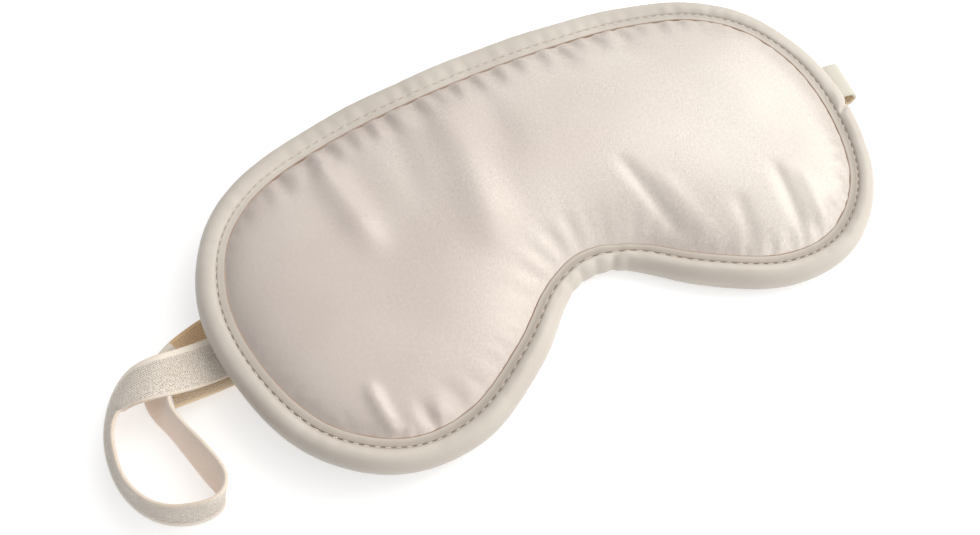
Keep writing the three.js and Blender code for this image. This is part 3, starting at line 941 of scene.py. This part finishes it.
def ribbon_section():
    """(across, through) of points round the elastic's section: a flat bar with round edges."""
    half = STRAP_WIDTH / 2
    radius = STRAP_THICKNESS / 2
    across = np.linspace(-half + radius, half - radius, FACE_COLUMNS)
    turn = np.linspace(math.pi / 2, -math.pi / 2, RIM_COLUMNS + 2)[1:-1]
    right = np.column_stack([half - radius + radius * np.cos(turn), radius * np.sin(turn)])
    top = np.column_stack([across, np.full(FACE_COLUMNS, radius)])
    bottom = np.column_stack([across[::-1], np.full(FACE_COLUMNS, -radius)])
    left = -right
    return np.vstack([top, right, bottom, left])


def ribbon_rows(middle, across):
    """Rows of the elastic's section along a line of middles, with a vector across it at each."""
    along = length_along(middle)
    ahead = np.gradient(middle, axis=0)
    ahead /= np.linalg.norm(ahead, axis=1, keepdims=True)
    across = across - (across * ahead).sum(axis=1, keepdims=True) * ahead
    across /= np.linalg.norm(across, axis=1, keepdims=True)
    through = np.cross(across, ahead)
    section = ribbon_section()
    bow = 0.18 * np.sin(along / 17.0 + 1.0) * np.sin(along / 41.0)
    cup = bow[:, None] * (1 - (section[:, 0] / (STRAP_WIDTH / 2)) ** 2)
    points = (
        middle[:, None]
        + across[:, None] * section[None, :, 0, None]
        + through[:, None] * (section[None, :, 1] + cup)[..., None]
    )
    under = points[..., 2].min(axis=1)
    points[..., 2] += np.maximum(0.02 - under, 0.0)[:, None]
    return points, along


def ribbon(name, points, along, upper, lower):
    """A closed piece of elastic from its rows; upper and lower give each row's two materials."""
    section = ribbon_section()
    rows, columns = points.shape[:2]
    quads, corners = grid_quads(rows, columns)
    uvs = np.stack([section[corners[..., 1] % columns, 0], along[corners[..., 0]]], axis=-1)
    ends = np.vstack([points[0], points[-1]])
    caps = [
        [rows * columns + k for k in reversed(range(columns))],
        [(rows + 1) * columns + k for k in range(columns)],
    ]
    materials = list(dict.fromkeys([*upper, *lower]))
    column = corners[:, 0, 1]
    first_lower = FACE_COLUMNS + RIM_COLUMNS
    is_lower = (column >= first_lower - 1) & (column < first_lower + FACE_COLUMNS)
    choices = np.array([[materials.index(m) for m in side] for side in (upper, lower)])
    slots = choices[is_lower.astype(int), corners[:, 0, 0]]
    return mesh_object(
        name, np.vstack([points.reshape(-1, 3), ends]), quads.tolist() + caps,
        np.vstack([uvs.reshape(-1, 2), np.zeros((2 * columns, 2))]),
        materials, np.concatenate([slots, [slots[0], slots[-1]]]),
    )


def evenly_by_middle(columns, count):
    along = length_along(columns[:, :3])
    at = np.linspace(0.0, along[-1], count)
    return np.stack([np.interp(at, along, column) for column in columns.T], axis=1)


def make_strap():
    last = len(STRAP_ROUTE) - 1
    stations = np.linspace(0, last, last * 60 + 1)
    first = spline_at([pair[0] for pair in STRAP_ROUTE], stations)
    second = spline_at([pair[1] for pair in STRAP_ROUTE], stations)
    middle = (first + second) / 2
    across = first - second
    across /= np.linalg.norm(across, axis=1, keepdims=True)
    count = int(length_along(middle)[-1] / STRAP_STEP)
    line = evenly_by_middle(np.column_stack([middle, across, stations]), count)
    line[:, :6] = softened(line[:, :6], 4, closed=False)
    points, along = ribbon_rows(line[:, :3], line[:, 3:6])
    # past the loop's end the lower face is the painted-shade brown copy, where it runs into the mask's
    # shadow
    lower = [
        elastic_smooth if at < TWIST_STATION
        else elastic_crepe if at < LOOP_STATIONS[1] - 0.01
        else elastic_ribbed_shaded
        for at in line[:, 6]
    ]
    cuts = [0] + [int(np.searchsorted(line[:, 6], at)) for at in LOOP_STATIONS] + [count - 1]
    pieces = {}
    for name, start, end in zip(("strap_end_left", "strap_loop", "strap_entry"), cuts, cuts[1:]):
        chosen = slice(start, end + 1)
        pieces[name] = ribbon(
            name, points[chosen], along[chosen], [elastic_crepe] * (end + 1 - start), lower[chosen],
        )
    run = spline_at(STRAP_RUN, np.linspace(0, len(STRAP_RUN) - 1, (len(STRAP_RUN) - 1) * 60 + 1))
    run = evenly(run, int(length_along(run)[-1] / STRAP_STEP))
    turn = FOLD_TURN * smoothstep(run[:, 0], 75.0, 100.0)
    points, run_along = ribbon_rows(run, np.column_stack([turn, np.ones_like(turn), 0 * turn]))
    # inside of the run: the painted-shade brown copy under the mask, the golden painted-shade copy
    # inside the right fold
    run_inside = [elastic_ribbed_shaded if x < 60 else elastic_golden_shade for x in run[:, 0]]
    pieces["strap_run"] = ribbon(
        "strap_run", points, along[-1] + run_along,
        [elastic_cream] * len(run), run_inside,
    )
    tail = evenly(spline_at(STRAP_TAIL, np.linspace(0, len(STRAP_TAIL) - 1, 120)), 40)
    points, tail_along = ribbon_rows(tail, np.tile([0.0, 1.0, 0.0], (len(tail), 1)))
    pieces["strap_tail"] = ribbon(
        "strap_tail", points, tail_along, [elastic_golden_shade] * len(tail), [elastic_golden_shade] * len(tail),
    )
    return pieces


# ---- assembly -------------------------------------------------------------------------------

LOBES = ("left_lobe", "right_lobe")


def finish_piece(piece, nodes, bodies):
    if len(bodies) == 1:
        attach(piece, bodies[0])
    else:
        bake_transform(piece)
    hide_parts(*nodes)


def both_halves(name):
    return (name + "_left", name + "_right")


cover, cover_points, cover_triangles = make_front_cover()
finish_piece(cover, both_halves("front_cover"), LOBES)

front_pad = layer_shell(
    "front_wadding", 7.6, 3.4,
    (5.0, 6.6), (5.7, 10.8), wadding,
)
finish_piece(front_pad, both_halves("front_wadding"), LOBES)
lining = layer_shell(
    "blackout_layer", 7.6, 3.4,
    (4.3, 5.8), (4.6, 6.1), blackout,
)
finish_piece(lining, both_halves("blackout_layer"), LOBES)
rear_pad = layer_shell(
    "rear_wadding", 7.6, 3.4,
    (2.8, 2.8), (4.0, 5.4), wadding,
)
finish_piece(rear_pad, both_halves("rear_wadding"), LOBES)
back = layer_shell(
    "back_cover", 7.0, 2.2,
    (2.0, 1.6), (2.35, 1.95), back_satin,
)
finish_piece(back, both_halves("back_cover"), LOBES)

binding = make_binding()
finish_piece(
    binding, both_halves("binding") + ("binding_lap",), LOBES,
)
front_stitches = stitch_row("topstitch_front", STITCH_INSET, 7.74, 1)
finish_piece(front_stitches, both_halves("topstitch_front"), LOBES)
back_stitches = stitch_row("topstitch_back", STITCH_INSET + 0.2, 1.12, -1)
finish_piece(back_stitches, both_halves("topstitch_back"), LOBES)

strap = make_strap()
finish_piece(
    strap["strap_end_left"], ("strap_anchor_left", "strap_hinge_upper"),
    ("left_lobe", "strap_base"),
)
finish_piece(
    strap["strap_loop"],
    ("strap_leaving_left", "strap_corner", "strap_loop_side", "strap_loop_bottom",
     "strap_loop_turn", "strap_return_outer", "strap_return_under"),
    ("strap_base", "strap_loop"),
)
finish_piece(
    strap["strap_entry"], ("strap_hinge_lower", "strap_run_entry"),
    ("left_lobe", "strap_base"),
)
finish_piece(
    strap["strap_run"], ("strap_run_left", "strap_run_right", "strap_fold_right"),
    LOBES,
)
finish_piece(
    strap["strap_tail"], ("strap_tail_left",),
    ("left_lobe", "strap_base"),
)
finish_piece(bar_tack("bar_tack_threads_left", -94, -5.5, 3.2),
             ("bar_tack_left",), ("left_lobe",))
finish_piece(bar_tack("bar_tack_threads_right", 94, -4.3, 2.5),
             ("bar_tack_right",), ("right_lobe",))

# ---- floor, camera and light ----------------------------------------------------------------


def make_floor():
    half = 6000.0
    corners = [(-half, -half, -0.02), (half, -half, -0.02), (half, half, -0.02), (-half, half, -0.02)]
    floor = mesh_object(
        "floor", np.array(corners), [(0, 1, 2, 3)], np.array(corners)[:, :2], [floor_material()],
    )


def make_camera():
    camera = bpy.data.objects.new("camera", bpy.data.cameras.new("camera"))
    bpy.context.scene.collection.objects.link(camera)
    forward = Vector((0.21599, 0.41857, -0.88213)).normalized()
    right = Vector((0.88866, -0.45857, 0.0)).normalized()
    up = right.cross(forward)
    turn = Matrix((right, up, -forward)).transposed().to_4x4()
    camera.matrix_world = Matrix.Translation(place(-74.068, -109.557, 206.795)) @ turn
    camera.data.sensor_width = 36.0
    camera.data.lens = 36.0 * 835 / 980
    camera.data.clip_start = 0.01
    bpy.context.scene.camera = camera


def softbox(name, position, target, size, power, color=(1, 1, 1)):
    light = bpy.data.lights.new(name, "AREA")
    light.shape = "RECTANGLE"
    light.size, light.size_y = size
    light.energy = power
    light.color = color
    lamp = bpy.data.objects.new(name, light)
    bpy.context.scene.collection.objects.link(lamp)
    lamp.location = position
    lamp.rotation_euler = (Vector(target) - Vector(position)).to_track_quat("-Z", "Y").to_euler()


def make_world(strength):
    world = bpy.data.worlds.new("studio")
    bpy.context.scene.world = world
    world.use_nodes = True
    world.node_tree.nodes["Background"].inputs["Color"].default_value = (1, 1, 1, 1)
    world.node_tree.nodes["Background"].inputs["Strength"].default_value = strength


make_floor()
make_camera()
make_world(0.42)
softbox("key", (0.52, 0.12, 0.52), (0.05, 0, 0), (0.6, 0.6), 3.6, (1.0, 0.99, 0.945))
softbox("overhead", (0.1, 0.35, 1.2), (0, 0, 0), (1.6, 1.6), 3.5)
softbox("right", (0.37, -0.42, 0.31), (0.06, -0.02, 0), (0.8, 0.6), 2.9, (1.0, 0.99, 0.96))
softbox("back", (0.40, 1.0, 0.62), (0, 0, 0), (0.7, 0.5), 1.8, (1.0, 0.985, 0.96))
bpy.context.scene.view_settings.view_transform = "Standard"
